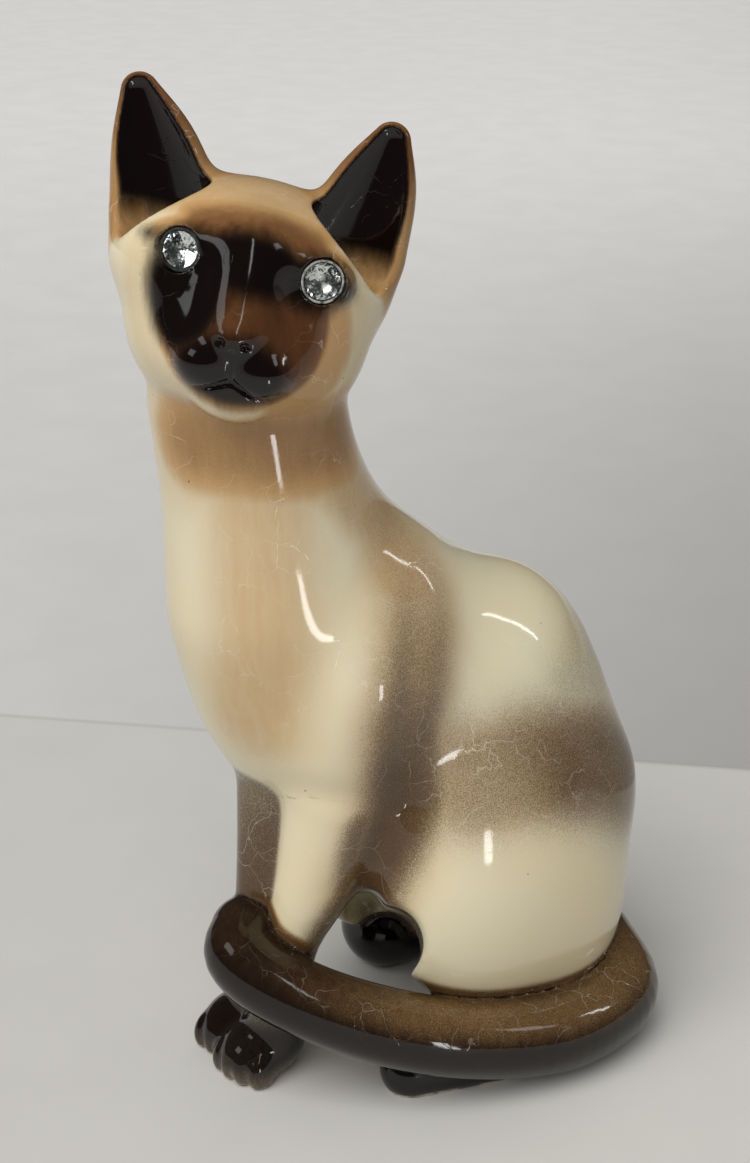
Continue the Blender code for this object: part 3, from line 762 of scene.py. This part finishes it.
def largest_body(mesh):
    """Drops crumbs of clay beside the casting's own body."""
    shape = bmesh.new()
    shape.from_mesh(mesh)
    left = set(shape.verts)
    bodies = []
    while left:
        front = [left.pop()]
        body = set(front)
        while front:
            for edge in front.pop().link_edges:
                for vertex in edge.verts:
                    if vertex in left:
                        left.discard(vertex)
                        body.add(vertex)
                        front.append(vertex)
        bodies.append(body)
    bodies.sort(key=len)
    crumbs = [vertex for body in bodies[:-1] for vertex in body]
    bmesh.ops.delete(shape, geom=crumbs, context="VERTS")
    shape.to_mesh(mesh)
    shape.free()


def input_name(tree, name):
    return next(item.identifier for item in tree.interface.items_tree
                if item.name == name and item.in_out == "INPUT")


def cast(name):
    material = glaze_material(name.replace("_", " ") + " glaze")
    block = bpy.data.objects.new(name + " clay", bpy.data.meshes.new(name))
    collection.objects.link(block)
    modifier = block.modifiers.new("Casting", "NODES")
    modifier.node_group = casting_tree(name, material)
    modifier[input_name(modifier.node_group, "Grain")] = GRAINS.get(name, OTHER_GRAIN)
    modifier[input_name(modifier.node_group, "Fillet")] = 1.0
    mesh = bpy.data.meshes.new_from_object(block.evaluated_get(bpy.context.evaluated_depsgraph_get()))
    bpy.data.objects.remove(block)
    largest_body(mesh)
    mesh.name = name
    piece = bpy.data.objects.new(name + "_glazed", mesh)
    collection.objects.link(piece)
    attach(piece, "root")
    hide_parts(name)
    print(name, len(mesh.polygons), "faces")
    return piece


pieces = {name: cast(name) for name in CLAY}

# %% [markdown]
# ## Eye stones
# Each eye is a cut-glass stone in a mirror-foil cup. The stone is ground as flats: a table, a ring of crown
# facets, a thin girdle and a pavilion that narrows to the culet. Its facets are the hull of those rings.

# %% Stones and foil cups
STONE_RADIUS = 4
TABLE_RADIUS = 2.2
CROWN = 1.5
GIRDLE = 0.5
PAVILION = 2.6
FOIL_SIDES = 32
GLASS_IOR = 1.55


def ring(sides, radius, height, turn=0.0):
    """Corners of a ring of flats, in the stone's own frame, table towards +Z."""
    step = math.tau / sides
    return [Vector((radius * math.cos(step * (i + turn)), radius * math.sin(step * (i + turn)), height))
            for i in range(sides)]


def eye_place(side):
    x, z = EYES[side]
    head = Matrix.Translation(Vector(HEAD_CENTRE) - PATTERN_MIDDLE) @ HEAD_TURN.to_matrix().to_4x4()
    outward = Matrix.Rotation(EYE_TURNS[side], 4, "Z")
    forward = Matrix.Rotation(math.radians(90), 4, "X")
    return Matrix.Scale(MM, 4) @ head @ Matrix.Translation((x, EYE_SEAT, z)) @ outward @ forward


def hull(name, corners, place):
    shape = bmesh.new()
    for corner in corners:
        shape.verts.new(place @ corner)
    made = bmesh.ops.convex_hull(shape, input=shape.verts)
    unused = made["geom_interior"] + made["geom_unused"]
    spare = {item for item in unused if isinstance(item, bmesh.types.BMVert)}
    bmesh.ops.delete(shape, geom=list(spare), context="VERTS")
    bmesh.ops.recalc_face_normals(shape, faces=shape.faces)
    mesh = bpy.data.meshes.new(name)
    shape.to_mesh(mesh)
    shape.free()
    return mesh


def lathe(name, profile, sides, place):
    """A closed turned shape from (radius, height) pairs that start and end on the axis."""
    rows = []
    for radius, height in profile:
        corners = ring(sides, radius, height) if radius else [Vector((0, 0, height))]
        rows.append([place @ corner for corner in corners])
    points = [point for row in rows for point in row]
    starts = [sum(len(row) for row in rows[:i]) for i in range(len(rows))]
    faces = []
    for low, high, first, second in zip(rows, rows[1:], starts, starts[1:]):
        for i in range(sides):
            j = (i + 1) % sides
            quad = [first + i % len(low), first + j % len(low),
                    second + j % len(high), second + i % len(high)]
            faces.append(list(dict.fromkeys(quad)))
    mesh = bpy.data.meshes.new(name)
    mesh.from_pydata(points, [], faces)
    return mesh


def stone_corners():
    return [*ring(8, TABLE_RADIUS, GIRDLE + CROWN), *ring(8, 3.2, GIRDLE + 0.95, 0.5),
            *ring(16, STONE_RADIUS, GIRDLE), *ring(16, STONE_RADIUS, 0),
            *ring(8, 2.2, -1.5, 0.5), *ring(8, 0.4, -PAVILION)]


FOIL = [(0, -3.4), (1.3, -3.4), (4.8, 0), (4.8, GIRDLE), (4.3, GIRDLE), (4.3, 0), (0.8, -2.9),
        (0, -2.9)]


def glass_material():
    """Clear cut glass, a little cool, with dust and fine wear in patches."""
    material, tree, shader, place = blank_material("cut glass")
    tint = colour_mix(noise(place, 300, 2.0).step(0.3, 0.7), (0.93, 0.97, 0.96), (0.80, 0.86, 0.84))
    tree.links.new(tint.socket, shader.inputs["Base Color"])
    rough = noise(place, 900, 2.0).step(0.45, 0.8, 0.01, 0.12)
    tree.links.new(rough.socket, shader.inputs["Roughness"])
    shader.inputs["Transmission Weight"].default_value = 1.0
    shader.inputs["IOR"].default_value = GLASS_IOR
    return material


def foil_material():
    """Silvered foil, tarnished darker in patches."""
    material, tree, shader, place = blank_material("mirror foil")
    tarnish = noise(place, 700, 3.0).step(0.35, 0.7)
    colour = colour_mix(tarnish, (0.80, 0.81, 0.82), (0.22, 0.20, 0.17))
    tree.links.new(colour.socket, shader.inputs["Base Color"])
    tree.links.new(tarnish.step(0.0, 1.0, 0.08, 0.4).socket, shader.inputs["Roughness"])
    shader.inputs["Metallic"].default_value = 1.0
    return material


def place_piece(mesh, name, node, material):
    mesh.materials.append(material)
    piece = bpy.data.objects.new(name, mesh)
    collection.objects.link(piece)
    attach(piece, "root")
    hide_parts(node)
    return piece


GLASS = glass_material()
MIRROR = foil_material()
for side in EYES:
    place = eye_place(side)
    stone = hull("stone " + side, stone_corners(), place)
    place_piece(stone, "stone_" + side, "eye_stone_" + side, GLASS)
    foil = lathe("foil " + side, FOIL, FOIL_SIDES, place)
    place_piece(foil, "foil_" + side, "eye_foil_" + side, MIRROR)
    print(side, "stone has", len(stone.polygons), "flats")

# %% [markdown]
# ## Floor
# One plain plane carries two tones: the pale table and, beyond a slanting line, the backdrop, painted
# lighter with distance and darker to one side as light falls on a wall, with a painted shadow along the line.

# %% Table
TABLE_SIZE = 12
TABLE_EDGE = [Vector(corner) - PATTERN_MIDDLE * MM for corner in ((-0.2347, 0.0141, 0), (-0.0359, 0.1860, 0))]
NEAR_LEFT = (0.60, 0.585, 0.56)
NEAR_RIGHT = (0.33, 0.32, 0.305)
FAR_LEFT = (0.84, 0.82, 0.785)
FAR_RIGHT = (0.52, 0.505, 0.485)
TABLE_LEFT = (0.55, 0.535, 0.50)
TABLE_RIGHT = (0.59, 0.57, 0.535)
LINE_SHADE = (0.25, 0.24, 0.23)
SMUDGE = (0.3, 0.29, 0.28)


def table_material():
    material, tree, shader, place = blank_material("plain table")
    along = (TABLE_EDGE[1] - TABLE_EDGE[0]).normalized()
    back = Vector((-along.y, along.x, 0))
    beyond = place.vector("SUBTRACT", TABLE_EDGE[0]).vector("DOT_PRODUCT", back, out=1)
    wall = beyond.step(-0.0005, 0.0012)
    across = place.vector("SUBTRACT", TABLE_EDGE[0]).vector("DOT_PRODUCT", along, out=1)
    # Painted light: the backdrop goes lighter with distance and darker to one side, as light falls on a wall.
    far = beyond.step(0.0, 1.2)
    low_light = colour_mix(across.step(-0.1, 0.45), NEAR_LEFT, NEAR_RIGHT)
    high_light = colour_mix(across.step(0.0, 1.1), FAR_LEFT, FAR_RIGHT)
    backdrop = colour_mix(far, low_light, high_light)
    table = colour_mix(across.step(0.0, 0.35), TABLE_LEFT, TABLE_RIGHT)
    colour = colour_mix(wall, table, backdrop)
    # Painted shadow along the line where the table meets the backdrop.
    line = beyond.maths("ABSOLUTE").step(0.0, 0.0022, 0.25, 0.0)
    colour = colour_mix(line, colour, LINE_SHADE)
    colour = colour_mix(noise(place, 30, 4.0).step(0.3, 0.7) * 0.06, colour, SMUDGE)
    tree.links.new(colour.socket, shader.inputs["Base Color"])
    shader.inputs["Roughness"].default_value = 0.65
    shader.inputs["Specular IOR Level"].default_value = 0.25
    return material


bpy.ops.mesh.primitive_plane_add(size=TABLE_SIZE, location=(0, 0, 0))
floor = bpy.context.object
floor.name = "table"
floor.data.materials.append(table_material())

# %% [markdown]
# ## Light and camera
# A wide soft daylight and a ceiling panel light the clay and don't show in the glaze. Five bright panes do
# the opposite: they draw the highlights and light nothing. A pale room fills the shade.

# %% Lights
MIDDLE = Vector((0, 0, 0.13))
ROOM_LIGHT = 0.37
GLOSS_DIMMING = 0.32


def panel(name, place, aim, size, power, colour=(1, 1, 1)):
    light = bpy.data.lights.new(name, "AREA")
    light.shape = "RECTANGLE"
    light.size, light.size_y = size
    light.energy = power
    light.color = colour
    holder = bpy.data.objects.new(name, light)
    collection.objects.link(holder)
    holder.location = place
    holder.rotation_euler = (Vector(aim) - Vector(place)).to_track_quat("-Z", "Y").to_euler()
    return holder


def reflection(name, azimuth, height_angle, distance, size, power):
    """A bright pane that only shows in reflections. Azimuth 0 is in front of the hips."""
    turn = math.radians(azimuth)
    rise = math.radians(height_angle)
    toward = Vector((math.sin(turn) * math.cos(rise), -math.cos(turn) * math.cos(rise), math.sin(rise)))
    pane = panel(name, MIDDLE + toward * distance, MIDDLE, size, power)
    pane.visible_diffuse = False
    pane.visible_camera = False
    return pane


ceiling = panel("ceiling", (0.2, -0.7, 1.3), (0, 0, 0.1), (0.9, 0.9), 6)
ceiling.visible_glossy = False
sun = bpy.data.lights.new("daylight", "SUN")
sun.energy = 2.0
sun.angle = math.radians(60)
daylight = bpy.data.objects.new("daylight", sun)
collection.objects.link(daylight)
daylight.rotation_euler = Vector((-0.22, 0.68, -0.8)).to_track_quat("-Z", "Y").to_euler()
daylight.visible_glossy = False
reflection("chest window", 75, -14, 0.4, (0.034, 0.11), 0.14)
reflection("upper window", -14, 33, 1.0, (0.34, 0.26), 0.5)
reflection("back window", 139, 28, 1.0, (0.04, 0.22), 0.35)
reflection("sky window", 60, 46, 1.0, (0.06, 0.3), 0.25)
reflection("side window", 118, 35, 1.0, (0.16, 0.12), 0.15)


def room_world():
    """Pale room light, which shows darker in the glaze than it lights the clay."""
    world = bpy.data.worlds.new("room")
    world.use_nodes = True
    tree = world.node_tree
    ray = add_node(tree, "ShaderNodeLightPath", None, None, 3)
    strength = ROOM_LIGHT - ray * GLOSS_DIMMING
    background = tree.nodes["Background"]
    background.inputs["Color"].default_value = (0.97, 0.98, 1.0, 1)
    tree.links.new(strength.socket, background.inputs["Strength"])
    return world


bpy.context.scene.world = room_world()

# %% Camera
CAMERA_TURN = math.radians(50)
CAMERA_DISTANCE = 480
CAMERA_HEIGHT = 330
AIM_HEIGHT = 125
camera_data = bpy.data.cameras.new("camera")
camera = bpy.data.objects.new("camera", camera_data)
collection.objects.link(camera)
bpy.context.scene.camera = camera
bpy.context.scene.view_settings.view_transform = "Standard"
across = CAMERA_DISTANCE * math.sin(CAMERA_TURN)
forward = -CAMERA_DISTANCE * math.cos(CAMERA_TURN)
viewpoint = Vector((across, forward, CAMERA_HEIGHT)) - PATTERN_MIDDLE
aim = Vector((0, 0, AIM_HEIGHT)) - PATTERN_MIDDLE
camera.location = viewpoint * MM
camera.rotation_euler = (aim - viewpoint).to_track_quat("-Z", "Y").to_euler()
camera_data.sensor_fit = "VERTICAL"
camera_data.sensor_height = 36
camera_data.lens = 65
camera_data.shift_x = -0.0172
camera_data.shift_y = 0.0159
print("camera at", [round(v, 3) for v in camera.location])
